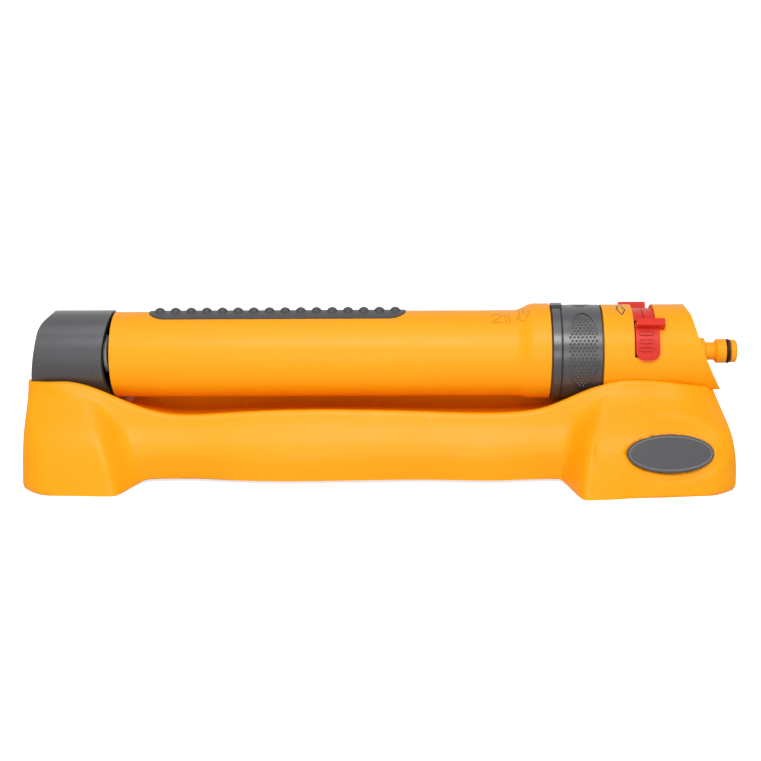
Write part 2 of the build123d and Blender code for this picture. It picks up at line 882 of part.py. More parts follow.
with BuildPart() as jet_plate:
    add(turned((jet_x, jet_x + plate_wall, through, disc_radius)))
    with BuildSketch(across(jet_x)):
        with PolarLocations(turbine_radius * 0.75, 5, start_angle=-54):
            Rectangle(5, 2.4, rotation=60)
        with Locations((0, -gear_centre)):
            Circle(pin_radius)
    extrude(amount=plate_wall, mode=Mode.SUBTRACT)
save(jet_plate.part, "jet_plate")

with BuildPart() as gear_plate:
    add(turned((plate_x, plate_x + plate_wall, pin_radius, disc_radius)))
    with BuildSketch(across(plate_x)):
        with Locations((0, -gear_centre)):
            Circle(through)
        with PolarLocations(gear_centre + 2, 5, start_angle=-30, angular_range=300):
            Circle(3.2)
    extrude(amount=plate_wall, mode=Mode.SUBTRACT)
save(gear_plate.part, "gear_plate")

cover_bore = spindle_radius + running_gap
with BuildPart() as motor_cover:
    add(turned((case_right, neck_right, cover_bore, neck_inner - plate_gap)))
    with BuildSketch(across(case_right)):
        with Locations((0, -gear_centre), (0, lever_pivot)):
            Circle(pin_radius)
    extrude(amount=neck_right - case_right, mode=Mode.SUBTRACT)
save(motor_cover.part, "motor_cover")

seal_width = 2.4
seal_outer = cover_bore + 2.6
save(turned((neck_right, neck_right + seal_width, cover_bore, seal_outer)), "spindle_seal")
save(turned((case_left, plate_x + plate_wall, 0, pin_radius)), "central_axle")

with BuildPart() as offset_pin:
    with BuildSketch(across(jet_x, -gear_centre)):
        Circle(pin_radius)
    extrude(amount=neck_right - jet_x)
save(offset_pin.part, "offset_pin")

lever_end = lever_start + lever_wall
with BuildPart() as lever_pin:
    with BuildSketch(across(case_right, lever_pivot)):
        Circle(pin_radius)
    extrude(amount=lever_end + 1 - case_right)
    with BuildSketch(across(lever_end + plate_gap, lever_pivot)):
        Circle(pin_radius + 1)
    extrude(amount=1)
save(lever_pin.part, "lever_pin")

with BuildPart() as trip_lever:
    with BuildSketch(across(lever_start)):
        with Locations((0, lever_pivot)):
            Circle(lever_hub)
        with Locations((0, (lever_pivot + finger_inner) / 2)):
            Rectangle(0.7 * lever_hub, finger_inner - lever_pivot + 2)
    extrude(amount=lever_wall)
    finger_turns = (-finger_half_turn, finger_half_turn)
    add(sector(lever_start, finger_end - lever_start, finger_inner, finger_outer, *finger_turns))
    with BuildSketch(across(lever_start, lever_pivot)):
        Circle(pin_radius + pin_gap)
    extrude(amount=lever_wall, mode=Mode.SUBTRACT)
save(trip_lever.part, "trip_lever")

# Fixed spindle and the gear on its end that the train walks round
spindle_left = plate_x + plate_wall + 0.5
hub_bore = module * wheel_teeth / 2 - 1.15 * module - 1.6
with BuildPart() as inlet_spindle:
    add(turned((spindle_left, sun_x + sun_width, spindle_bore, hub_bore - plate_gap)))
    add(turned((sun_x + sun_width, socket_end - plate_gap, spindle_bore, spindle_radius)))
save(inlet_spindle.part, "inlet_spindle")

with BuildPart() as spindle_gear:
    add(toothed(sun_x, sun_width, wheel_teeth, down + half_wheel_tooth))
    with BuildSketch(across(sun_x)):
        Circle(hub_bore)
    extrude(amount=sun_width, mode=Mode.SUBTRACT)
save(spindle_gear.part, "spindle_gear")

# Selector collar on the neck, keyed through it to the ported disc
collar_bore = neck_radius + running_gap
with BuildPart() as selector_collar:
    with BuildSketch(lengthwise):
        with BuildLine():
            Polyline(
                (collar_left, collar_bore),
                (collar_left, collar_radius - collar_bevel),
                (collar_left + collar_bevel, collar_radius),
                (groove_x - groove_sink, collar_radius),
                (groove_x, collar_radius - groove_sink),
                (groove_x + groove_sink, collar_radius),
                (collar_right - collar_bevel, collar_radius),
                (collar_right, collar_radius - collar_bevel),
                (collar_right, collar_bore),
                close=True,
            )
        make_face()
    revolve(axis=swing)
    nub_radii = (collar_radius - 1, collar_radius + nub_height)
    add(sector(collar_left, nub_length, *nub_radii, -nub_turn, nub_turn))
    for index in range(grip_count):
        angle = grip_angle + index * 360 / grip_count
        facing = Plane(
            (grip_x, 0, axis_height),
            x_dir=(1, 0, 0),
            z_dir=(0, -sin(radians(angle)), cos(radians(angle))),
        )
        with BuildPart(mode=Mode.PRIVATE) as patch:
            with BuildSketch(facing):
                Ellipse(grip_width / 2, grip_reach / 2)
            extrude(amount=2 * collar_radius)
            with BuildSketch(across(collar_left)):
                Circle(collar_radius - grip_sink)
            extrude(amount=collar_length, mode=Mode.SUBTRACT)
        add(patch.part, mode=Mode.SUBTRACT)
    keyway_radii = (neck_radius, collar_bore + key_depth + seat_gap)
    keyway = sector(collar_left, case_thickness + plate_gap, *keyway_radii, *key_turns)
    add(keyway, mode=Mode.SUBTRACT)
save(selector_collar.part, "selector_collar")

with BuildPart() as selector_disc:
    add(turned((collar_left + plate_gap, collar_left + case_thickness, 3, neck_inner - plate_gap)))
    with BuildSketch(across(collar_left)):
        with PolarLocations(neck_inner * 0.62, 3):
            Circle(neck_inner * 0.2)
    extrude(amount=reach, mode=Mode.SUBTRACT)
    disc_radii = (neck_inner - 2, collar_bore + key_depth)
    add(sector(collar_left + plate_gap, case_thickness - plate_gap, *disc_radii, *disc_turns))
save(selector_disc.part, "selector_disc")


# Limit sliders: identical pieces, one turned half round the vertical through the slot's middle
def limit_slider():
    """Slider on the front of the housing: skin, lip, neck through the slot, band and lug."""
    skin = (slider_skin_inner, slider_skin_outer)
    skin_left = slot_x + slider_shift - slider_width / 2
    neck_width = slot_width / 2 - 2 * seat_gap
    with BuildPart() as slider:
        add(sector(skin_left, slider_width, *skin, slider_top_angle, slider_low_angle))
        low_end = slider.edges().filter_by(lambda edge: edge.length < 2 * (skin[1] - skin[0]))
        fillet(low_end.sort_by(Axis.Z)[:2], slider_nose)
        for angle in oblong_angles:
            with BuildPart(mode=Mode.PRIVATE) as ring:
                with BuildSketch(Plane(
                    (slot_x, 0, axis_height),
                    x_dir=(1, 0, 0),
                    z_dir=(0, -sin(radians(angle)), cos(radians(angle))),
                )):
                    SlotOverall(oblong_length, oblong_width)
                    SlotOverall(
                        oblong_length - 2 * oblong_rim,
                        oblong_width - 2 * oblong_rim,
                        mode=Mode.SUBTRACT,
                    )
                extrude(amount=slider_skin_outer + oblong_rim)
                with BuildSketch(across(skin_left)):
                    Circle(slider_skin_outer - oblong_rim)
                extrude(amount=slider_width, mode=Mode.SUBTRACT)
            add(ring.part)
        lip_turn = degrees(lip_thickness / lip_radius)
        lip_left = slot_x - lip_length / 2 + lip_shift
        lip_low = slider_top_angle + lip_turn
        add(sector(lip_left, lip_length, slider_skin_inner, lip_radius, slider_top_angle, lip_low))
        left = slot_x + seat_gap
        neck = (band_outer - bite, slider_skin_inner + bite)
        add(sector(left, neck_width, *neck, slider_top_angle, slider_neck_end))
        band_width = neck_width + band_grip
        add(sector(left, band_width, band_inner, band_outer, band_start, band_end))
        lug = (lug_inner, band_inner + bite)
        add(sector(left, neck_width - lug_setback, *lug, lug_angle, lug_angle + lug_sweep))
    return slider.part


front_slider = limit_slider()
save(front_slider, "front_slider")
save(front_slider.rotate(Axis((slot_x, 0, 0), (0, 0, 1)), 180), "rear_slider")
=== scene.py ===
# %% [markdown]
# # An oscillating lawn sprinkler, dressed in Blender
# The solid model of the sprinkler is already built and its joints work, so this script only
# has to make it look right: smooth moulded skins, honest plastics and rubber, the small
# marks, a camera and soft light. Every piece sits in metres, +X towards the hose
# nose, -Y towards the viewer and +Z up, exactly where the solid model puts it.

# %% Load the frame
import json
import math

import bmesh
import bpy
from mathutils import Matrix, Vector
from mathutils.bvhtree import BVHTree


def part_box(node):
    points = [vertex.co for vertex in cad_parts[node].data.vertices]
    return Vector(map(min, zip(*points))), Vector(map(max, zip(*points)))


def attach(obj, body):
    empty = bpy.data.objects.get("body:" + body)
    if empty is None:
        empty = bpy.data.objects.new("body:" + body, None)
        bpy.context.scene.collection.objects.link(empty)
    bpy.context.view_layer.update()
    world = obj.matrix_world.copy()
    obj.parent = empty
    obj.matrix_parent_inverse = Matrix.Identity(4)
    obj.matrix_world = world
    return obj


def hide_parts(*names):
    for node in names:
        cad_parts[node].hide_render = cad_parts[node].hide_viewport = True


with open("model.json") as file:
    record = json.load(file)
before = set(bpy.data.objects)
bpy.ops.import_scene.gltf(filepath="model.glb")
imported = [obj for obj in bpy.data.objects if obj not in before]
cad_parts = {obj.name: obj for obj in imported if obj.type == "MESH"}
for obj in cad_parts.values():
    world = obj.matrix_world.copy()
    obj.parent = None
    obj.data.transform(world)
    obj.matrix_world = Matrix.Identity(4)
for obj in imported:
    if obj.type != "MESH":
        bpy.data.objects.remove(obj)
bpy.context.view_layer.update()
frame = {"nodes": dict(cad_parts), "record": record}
nodes = frame["nodes"]

# %% [markdown]
# Almost everything on this object is turned about one line, the swing axis of the barrel.
# Its height is read from the joint, so marks that follow the barrel's skin can be placed by
# an angle from straight up and a distance along X.

# %% The swing axis
swing = next(j for j in frame["record"]["behaviour"]["joints"] if j["name"] == "barrel_swing")
AXIS_Z = swing["pos_m"][2]
MM = 0.001


def on_axis(x, radius, angle, drop=0.0):
    """Point at x, a radius and an angle in degrees from straight up, turning to the front."""
    turn = math.radians(angle)
    return Vector((x, -radius * math.sin(turn), AXIS_Z - drop + radius * math.cos(turn)))


print("swing axis height:", round(AXIS_Z, 4))

# %% [markdown]
# Shader maths reads best as ordinary arithmetic. This little class wraps a node socket, so
# that an expression such as `1 - mask * 0.2` adds its Math nodes by itself. Any other node
# comes from `node`, which takes the node's type, its settings and its inputs.


# %% Shader arithmetic
class Socket:
    def __init__(self, tree, link):
        self.tree = tree
        self.link = link

    def math(self, operation, a, b):
        return node(self.tree, "ShaderNodeMath", {"operation": operation}, [a, b])

    def __add__(self, other):
        return self.math("ADD", self, other)

    def __radd__(self, other):
        return self.math("ADD", other, self)

    def __sub__(self, other):
        return self.math("SUBTRACT", self, other)

    def __rsub__(self, other):
        return self.math("SUBTRACT", other, self)

    def __mul__(self, other):
        return self.math("MULTIPLY", self, other)

    def __rmul__(self, other):
        return self.math("MULTIPLY", other, self)


def node(tree, kind, settings=None, inputs=(), output=0):
    """Add one node: its settings first, then values or links by position or by name."""
    made = tree.nodes.new(kind)
    for name, value in (settings or {}).items():
        setattr(made, name, value)
    pairs = inputs.items() if isinstance(inputs, dict) else enumerate(inputs)
    for key, value in pairs:
        if isinstance(value, Socket):
            tree.links.new(value.link, made.inputs[key])
        elif value is not None:
            made.inputs[key].default_value = value
    return Socket(tree, made.outputs[output]) if made.outputs else None


def srgb(text):
    """Linear colour of a hexadecimal sRGB colour."""
    parts = [int(text[i : i + 2], 16) / 255 for i in (1, 3, 5)]
    linear = [c / 12.92 if c <= 0.04045 else ((c + 0.055) / 1.055) ** 2.4 for c in parts]
    return (*linear, 1.0)


# %% [markdown]
# A moulded plastic is never one flat colour. The pigment drifts a little over a hand's
# width, the tool leaves a grain far below a millimetre, and rubbing makes some patches
# shinier than others. Three noises at three scales say that: one for colour, one for
# roughness and one, the finest, for the bump. All read Object coordinates, which are metres.


# %% Moulded plastics and rubbers
def moulded(name, colour, deeper, roughness, grain, grain_depth, gloss=0.3, drift=9.0):
    """Plastic or rubber with colour drift, uneven gloss and a fine tool grain."""
    material = bpy.data.materials.new(name)
    material.use_nodes = True
    tree = material.node_tree
    tree.nodes.clear()
    place = node(tree, "ShaderNodeTexCoord", output=3)
    slow = node(tree, "ShaderNodeTexNoise", {}, {"Vector": place, "Scale": drift, "Detail": 2.0})
    worn = node(tree, "ShaderNodeTexNoise", {}, {"Vector": place, "Scale": 60.0, "Detail": 4.0})
    fine = node(tree, "ShaderNodeTexNoise", {}, {"Vector": place, "Scale": grain, "Detail": 2.0})
    tint = node(
        tree,
        "ShaderNodeMix",
        {"data_type": "RGBA"},
        {0: slow, 6: srgb(colour), 7: srgb(deeper)},
        output=2,
    )
    shine = roughness + (worn - 0.5) * 0.12
    relief = node(
        tree,
        "ShaderNodeBump",
        {},
        {"Strength": 0.35, "Distance": grain_depth, "Height": fine},
    )
    skin = node(
        tree,
        "ShaderNodeBsdfPrincipled",
        {},
        {
            "Base Color": tint,
            "Roughness": shine,
            "Normal": relief,
            "Specular IOR Level": gloss,
        },
    )
    node(tree, "ShaderNodeOutputMaterial", {}, {"Surface": skin})
    return material


yellow = moulded("yellow moulding", "#ffa90a", "#ffa306", 0.42, 1500.0, 0.00005, 0.25)
base_yellow = moulded("yellow base moulding", "#ffa908", "#ffa205", 0.42, 1500.0, 0.00005, 0.25)
# Painted shade: a darker, deeper orange copy of the base yellow, with no gloss, for the trough under
# the barrel where shade falls.
painted_shade_trough_yellow = moulded("yellow with painted shade in the trough", "#ff9c04", "#ff9402", 0.8, 1500.0, 0.00005, 0.0)
charcoal = moulded("charcoal moulding", "#3f3e42", "#38373b", 0.3, 1100.0, 0.00004, 0.8)
plate_grey = moulded("badge grey", "#4c4b4f", "#454448", 0.4, 900.0, 0.00008, 0.4)
pale_grey = moulded("badge rim grey", "#7c7b7f", "#727175", 0.35, 1100.0, 0.00004)
red = moulded("red slider moulding", "#dc2c1a", "#d02412", 0.38, 1500.0, 0.00005)
# Painted shade: a darker copy of the slider red, for the outlines of the finger marks, where shade
# falls at their edges.
painted_shade_red = moulded("red with painted shade for the finger marks", "#9c1a10", "#8e150c", 0.5, 1500.0, 0.00004)
strip_rubber = moulded("nozzle rubber", "#4a494b", "#424144", 0.5, 900.0, 0.00006)
seal_rubber = moulded("seal rubber", "#241512", "#1c100e", 0.45, 700.0, 0.00005)
# Painted shade: a darker copy of the yellow, standing for the shade inside an engraved line.
painted_shade_groove = moulded("engraved line, painted shade", "#d98606", "#cf7d04", 0.5, 900.0, 0.00003)
print_grey = moulded("printed arrow", "#3b4650", "#343e48", 0.5, 900.0, 0.00002)
acetal = moulded("natural acetal", "#e4e2da", "#dcdad0", 0.4, 1300.0, 0.00004)
black = moulded("black moulding", "#242426", "#1d1d1f", 0.5, 1100.0, 0.00006)
steel = moulded("drawn steel", "#b8b8b8", "#aaaaad", 0.3, 800.0, 0.00003)
steel.node_tree.nodes["Principled BSDF"].inputs["Metallic"].default_value = 1.0
print("materials:", len(bpy.data.materials))

# %% Give each node its finish
finishes = {
    "yellow_plastic": yellow,
    "grey_plastic": charcoal,
    "badge_grey": plate_grey,
    "red_plastic": red,
    "strip_rubber": strip_rubber,
    "seal_rubber": seal_rubber,
    "white_acetal": acetal,
    "black_plastic": black,
    "stainless": steel,
}
for part in frame["record"]["subparts"]:
    mesh = nodes[part["node"]].data
    mesh.materials.clear()
    mesh.materials.append(finishes[part["material_slot"]])

# %% [markdown]
# The fine marks lie on curved skins: a numeral and arrows on the barrel, a small arrow on
# the housing, the grip's dimples. Working out each curve by formula would repeat the solid
# model, so the skin is asked instead. A ray shot inwards at the swing axis meets the node's
# mesh at one point, and gives its place and its normal.


# %% Find a skin by ray
def skin_of(name):
    """Search tree over a node's triangles, in the row frame."""
    mesh = nodes[name].data
    return BVHTree.FromPolygons([v.co for v in mesh.vertices], [p.vertices for p in mesh.polygons])


def touch(skin, x, angle):
    """Point and normal where a ray from outside, at x and an angle, meets the skin."""
    start = on_axis(x, 0.06, angle)
    place, normal, _, _ = skin.ray_cast(start, on_axis(x, 0.0, angle) - start)
    return place, normal


barrel_skin = skin_of("spray_tube")
print("barrel's skin at x 0:", touch(barrel_skin, 0.0, 0)[0])


# %% [markdown]
# An engraved line is a ribbon with a low rounded top, laid along the skin. Its cross-section
# has four points, so a line costs few faces. Corners are mitred by averaging the two
# neighbouring directions, and a closed outline simply joins its last section to its first.


# %% Lay a ribbon on a skin
STEPS_PER_RUN = 5
RIBBON_SECTION = ((-0.5, -0.4), (-0.3, 1.0), (0.3, 1.0), (0.5, -0.4))


def ribbon(name, skin, points, width, rise, material, body, closed=False):
    """Ribbon through (x in mm, angle) points on a skin of revolution."""
    path = []
    for (xa, a), (xb, b) in zip(points, points[1:] + points[:1]):
        for step in range(STEPS_PER_RUN):
            share = step / STEPS_PER_RUN
            path.append((xa + (xb - xa) * share, a + (b - a) * share))
    if not closed:
        path = path[: (len(points) - 1) * STEPS_PER_RUN + 1]
    spots = [touch(skin, x * MM, angle) for x, angle in path]
    verts, faces, count = [], [], len(spots)
    for i, (place, normal) in enumerate(spots):
        before = spots[i - 1][0] if closed or i else place
        after = spots[(i + 1) % count][0] if closed or i < count - 1 else place
        side = normal.cross((after - before).normalized()).normalized()
        for across, up in RIBBON_SECTION:
            verts.append(place + side * across * width + normal * up * rise)
    links = count if closed else count - 1
    for i in range(links):
        a, b = 4 * i, 4 * ((i + 1) % count)
        for k in range(4):
            faces.append((a + k, a + (k + 1) % 4, b + (k + 1) % 4, b + k))
    if not closed:
        faces += [(3, 2, 1, 0), tuple(4 * count - 4 + k for k in range(4))]
    return piece(name, verts, faces, material, body)


def piece(name, verts, faces, material, body, smooth=True):
    """Mesh whose place is in its own vertices, riding on a body."""
    mesh = bpy.data.meshes.new(name)
    mesh.from_pydata([tuple(v) for v in verts], [], faces)
    mesh.materials.append(material)
    mesh.update()
    for polygon in mesh.polygons:
        polygon.use_smooth = smooth
    made = bpy.data.objects.new(name, mesh)
    bpy.context.collection.objects.link(made)
    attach(made, body)
    return made


# %% [markdown]
# The barrel is engraved near its shoulder with the number of the setting, a short double
# line and an arrow that points at the front. Each is an outline only, about half a
# millimetre wide, a ribbon laid a little proud of the skin and coloured slightly darker than the
# plastic round it: painted shade, standing for the shade inside an engraved line.

# %% Engrave the barrel
ENGRAVED = 0.08 * MM
numeral = [(71.4, 18.5), (72.6, 14.6), (74.6, 13.4), (76.6, 15.2), (77.2, 18.8)]
numeral += [(76.0, 23.0), (73.4, 28.0), (71.6, 32.5), (77.9, 33.4)]
left_tick = [(79.6, 15), (80.4, 33)]
right_tick = [(81.6, 14), (82.6, 34)]
ribbon("barrel_numeral", barrel_skin, numeral, 0.8 * MM, ENGRAVED, painted_shade_groove, "barrel")
ribbon("barrel_tick_left", barrel_skin, left_tick, 0.6 * MM, ENGRAVED, painted_shade_groove, "barrel")
ribbon("barrel_tick_right", barrel_skin, right_tick, 0.7 * MM, ENGRAVED, painted_shade_groove, "barrel")
arrow = [(91.6, 2), (91.6, 17), (96.0, 17), (92.2, 36), (87.0, 24), (89.4, 22), (88.6, 4)]
ribbon("barrel_arrow", barrel_skin, arrow, 0.7 * MM, ENGRAVED, painted_shade_groove, "barrel", closed=True)

housing_skin = skin_of("control_housing")
arrow = [(153.0, 3), (153.0, 12), (151.9, 12.5), (155.0, 27), (157.9, 15), (156.6, 14), (156.2, 3)]
PRINTED = 0.05 * MM
ribbon("housing_arrow", housing_skin, arrow, 1.0 * MM, PRINTED, print_grey, "base", closed=True)

# %% [markdown]
# Each slider has three oblong finger marks with a fine dark outline, painted shade in a darker
# copy of the slider red. The outline is the same ribbon, closed round a stadium: two straight
# runs and two half circles. The angle of a point on the skin is its distance from the middle
# divided by the skin's radius.

# %% Outline the finger marks of the sliders
MARK_X = 169.5
MARK_RADIUS = 33.0
MARK_HALF = 3.4
MARK_END = 1.3


def oblong(angle):
    """Outline of one finger mark: points of x in millimetres and angle."""
    points = []
    for side in (1, -1):
        for step in range(5):
            turn = math.radians(-90 + 45 * step)
            out = side * (MARK_HALF + MARK_END * math.cos(turn))
            up = side * MARK_END * math.sin(turn)
            points.append((MARK_X + out, angle - math.degrees(up / MARK_RADIUS)))
    return points


for side, slider in ((1, "front_slider"), (-1, "rear_slider")):
    slider_skin = skin_of(slider)
    for index, angle in enumerate((56.4, 65.5, 74.6)):
        name = f"{slider}_mark_{index + 1}"
        ribbon(name, slider_skin, oblong(side * angle), 0.45 * MM, 0.05 * MM, painted_shade_red, slider, True)

# %% [markdown]
# The badge is a bare oval plate with a paler raised line just inside its edge. The line is an
# ellipse swept with a small half-round section, laid on the plate's own front face, whose
# middle and directions are measured from the node instead of being written down twice.

# %% Rim of the badge
plate = nodes["badge"].data
FACING_FRONT = 0.7
FLAT = 0.1 * MM


def front_rank(face):
    """Sort key that puts the frontmost forward-facing face of the plate last."""
    return (-face.normal.y > FACING_FRONT, -plate.vertices[face.vertices[0]].co.y)


facing = max(plate.polygons, key=front_rank).normal.copy()
rim_points = [
    plate.vertices[i].co.copy()
    for face in plate.polygons
    if face.normal.dot(facing) > 0.999
    for i in face.vertices
]
level = max(point.dot(facing) for point in rim_points)
rim_points = [point for point in rim_points if point.dot(facing) > level - FLAT]
along = Vector((-facing.y, facing.x, 0)).normalized()
upward = facing.cross(along).normalized()
reaches = [point.dot(along) for point in rim_points]
climbs = [point.dot(upward) for point in rim_points]
half_long = (max(reaches) - min(reaches)) / 2
half_tall = (max(climbs) - min(climbs)) / 2
middle = along * (max(reaches) + min(reaches)) / 2 + upward * (max(climbs) + min(climbs)) / 2
middle += facing * level
print("badge half sizes in mm:", round(half_long / MM, 2), round(half_tall / MM, 2))


RING_STEPS = 96
RING_ACROSS = 7
RING_SINK = 0.02 * MM


def oval_ring(name, width, rise, material, inset):
    """Half-round ring on the badge's face, set in from its edge."""
    verts, faces = [], []
    for i in range(RING_STEPS):
        turn = 2 * math.pi * i / RING_STEPS
        for k in range(RING_ACROSS):
            arc = math.pi * k / (RING_ACROSS - 1)
            shrink = inset + width * (1 - math.cos(arc)) / 2
            out = along * (half_long - shrink) * math.cos(turn)
            out += upward * (half_tall - shrink) * math.sin(turn)
            verts.append(middle + out + facing * (rise * math.sin(arc) - RING_SINK))
    for i in range(RING_STEPS):
        for k in range(RING_ACROSS - 1):
            a, b = i * RING_ACROSS + k, ((i + 1) % RING_STEPS) * RING_ACROSS + k
            faces.append((a, a + 1, b + 1, b))
    return piece(name, verts, faces, material, "base")


oval_ring("badge_rim", 0.9 * MM, 0.35 * MM, pale_grey, inset=1.0 * MM)

# %% [markdown]
# The base is one large moulding. Its feet turn into the beam at a clear crease, their outer
# corners are rounded at the floor, and a shallow dish lies round the badge. A copy of the
# node's mesh is welded, the long edges of its flanks are split, and its points are moved by
# three rules. The ribs, seats and bosses inside stay where the solid model has them.


# %% Weld and refine a copy of the base
def ease(value):
    """Smooth step from 0 to 1."""
    value = min(max(value, 0.0), 1.0)
    return value * value * (3 - 2 * value)


LONGEST = 2.8 * MM
WELD = 0.001 * MM
FLANK = 26 * MM
BEAM_HALF = 95 * MM
shell = bmesh.new()
shell.from_mesh(nodes["base"].data)
bmesh.ops.remove_doubles(shell, verts=shell.verts, dist=WELD)


def on_a_flank(edge):
    """Whether an edge lies on the outer part of a foot."""
    middle = (edge.verts[0].co + edge.verts[1].co) / 2
    return abs(middle.x) > BEAM_HALF and abs(middle.y) > FLANK


for _ in range(5):
    long_edges = [e for e in shell.edges if e.calc_length() > LONGEST and on_a_flank(e)]
    bmesh.ops.subdivide_edges(shell, edges=long_edges, cuts=1)
    bmesh.ops.triangulate(shell, faces=[f for f in shell.faces if len(f.verts) > 3])
print("base after refining:", len(shell.faces), "faces")

# %% Rules that move the points of the base
base_skin = skin_of("base")
CREST_Y = 30.3 * MM
CREST_FADE = 13 * MM
CREST_STEP = 0.4 * MM
FLANK_FADE = 8 * MM
SQUEEZE = 0.4
LEFT_TURN = -161 * MM
LEFT_LEAN = 0.42
LEFT_REACHES = (50 * MM, 40 * MM)
RIGHT_TURN = 122.7 * MM
RIGHT_LEAN = 16 * MM
RIGHT_LEAN_HEIGHT = 60 * MM
RIGHT_REACHES = (40 * MM, 28 * MM)
HEEL_ROUND = 6 * MM
HEEL_FADE = 24 * MM


def crest(x, side):
    """Height of the base's upper edge at x, on one side: the highest of three rays from above."""
    heights = [0.0]
    for shift in (-CREST_STEP, 0.0, CREST_STEP):
        start = Vector((x + shift, side * CREST_Y, 2 * AXIS_Z))
        place, _, _, _ = base_skin.ray_cast(start, Vector((0, 0, -1)))
        if place:
            heights.append(place.z)
    return max(heights)


def squeeze(x, centre, low_reach, high_reach):
    """Pull a foot's turn together round its centre and leave what lies further off."""
    offset = x - centre
    reach = high_reach if offset > 0 else low_reach
    share = ease((abs(offset) / reach - 0.5) / 0.5)
    return centre + offset * (SQUEEZE + (1 - SQUEEZE) * share)


def turned_in(point):
    """Point of the flank after the foot's turn is tightened."""
    if point.x < 0:
        target = squeeze(point.x, LEFT_TURN - LEFT_LEAN * point.z, *LEFT_REACHES)
    else:
        lean = RIGHT_LEAN * (max(point.z, 0) / RIGHT_LEAN_HEIGHT) ** 1.5
        target = squeeze(point.x, RIGHT_TURN + lean, *RIGHT_REACHES)
    side = 1 if point.y > 0 else -1
    weight = ease((crest(point.x, side) - point.z) / CREST_FADE)
    weight *= ease((abs(point.y) - FLANK) / FLANK_FADE)
    return point.x + (target - point.x) * weight


base_low, base_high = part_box("base")


def heel(point):
    """Shift along x that rounds a foot's outer corner at the floor."""
    if point.z >= HEEL_ROUND:
        return 0.0
    depth = HEEL_ROUND - math.sqrt(HEEL_ROUND**2 - (HEEL_ROUND - max(point.z, 0)) ** 2)
    left = 1 - ease((point.x - base_low[0]) / HEEL_FADE)
    right = 1 - ease((base_high[0] - point.x) / HEEL_FADE)
    return depth * (left - right)


DISH = (180 * MM, 28 * MM)
DISH_HALF = (37 * MM, 19 * MM)
DISH_DEPTH = 1.3 * MM
DISH_EDGE = 0.2


def dish(point):
    """How deep the dish round the badge is at a point of the front flank."""
    if point.y > -FLANK:
        return 0.0
    out = math.hypot((point.x - DISH[0]) / DISH_HALF[0], (point.z - DISH[1]) / DISH_HALF[1])
    return DISH_DEPTH * ease((1 + DISH_EDGE / 2 - out) / DISH_EDGE)


REACHED = BEAM_HALF - 20 * MM
for vert in shell.verts:
    if abs(vert.co.x) > REACHED:
        x = turned_in(vert.co) + heel(vert.co)
        vert.co = Vector((x, vert.co.y, vert.co.z)) - facing * dish(vert.co)

# %% The base as a piece with its yellow and its painted shade in the trough
TROUGH_HALF = CREST_Y - 2 * MM
TROUGH_END = 170 * MM
base_mesh = bpy.data.meshes.new("base_moulding")
shell.to_mesh(base_mesh)
shell.free()
base_mesh.materials.append(base_yellow)
base_mesh.materials.append(painted_shade_trough_yellow)
# Faces that face up in the trough under the barrel get the darker copy of the yellow: painted shade.
for face in base_mesh.polygons:
    in_painted_shade_trough = abs(face.center.y) < TROUGH_HALF and abs(face.center.x) < TROUGH_END
    face.material_index = 1 if in_painted_shade_trough and face.normal.z > 0.2 else 0
base_mesh.shade_smooth()
base_mesh.set_sharp_from_angle(angle=math.radians(34))
base_moulding = bpy.data.objects.new("base_moulding", base_mesh)
bpy.context.collection.objects.link(base_moulding)
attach(base_moulding, "base")
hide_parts("base")

# %% [markdown]
# The collar's three grip patches carry small round studs in a hexagonal pattern. They repeat
# by a rule, so Geometry Nodes makes them: a grid of points, every other row shifted by half
# a pitch, is cut to an ellipse, wrapped round the axis and given a stud at each point.
# The tree's inputs are the sizes that somebody might want to change.


# %% Geometry Nodes helper
def tree_input(tree, name, kind, value):
    """Named input of a geometry tree with its default."""
    made = tree.interface.new_socket(name, in_out="INPUT", socket_type=kind)
    made.default_value = value
    return made


def baked(name, tree, values, body):
    """Evaluate a geometry tree on an empty mesh into a plain mesh that rides on a body."""
    holder = bpy.data.objects.new(name + " source", bpy.data.meshes.new(name + " source"))
    bpy.context.collection.objects.link(holder)
    modifier = holder.modifiers.new("build", "NODES")
    modifier.node_group = tree
    for item in tree.interface.items_tree:
        if item.in_out == "INPUT" and item.name in values:
            modifier[item.identifier] = values[item.name]
    evaluated = holder.evaluated_get(bpy.context.evaluated_depsgraph_get())
    mesh = bpy.data.meshes.new_from_object(evaluated)
    holder.modifiers.clear()
    bpy.data.objects.remove(holder)
    made = bpy.data.objects.new(name, mesh)
    bpy.context.collection.objects.link(made)
    for polygon in mesh.polygons:
        polygon.use_smooth = True
    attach(made, body)
    return made


# %% Studs wrapped round the axis
studs = bpy.data.node_groups.new("wrapped studs", "GeometryNodeTree")
studs.interface.new_socket("Geometry", in_out="OUTPUT", socket_type="NodeSocketGeometry")
tree_input(studs, "Centre X", "NodeSocketFloat", 0.13)
tree_input(studs, "Centre Angle", "NodeSocketFloat", 76.0)
tree_input(studs, "Radius", "NodeSocketFloat", 0.0305)
tree_input(studs, "Pitch", "NodeSocketFloat", 0.0026)
tree_input(studs, "Stud", "NodeSocketFloat", 0.0009)
tree_input(studs, "Half Width", "NodeSocketFloat", 0.0095)
tree_input(studs, "Half Reach", "NodeSocketFloat", 0.0255)
tree_input(studs, "Axis Height", "NodeSocketFloat", 0.078)
group = studs.nodes.new("NodeGroupInput")
given = {s.name: Socket(studs, s) for s in group.outputs if s.name}

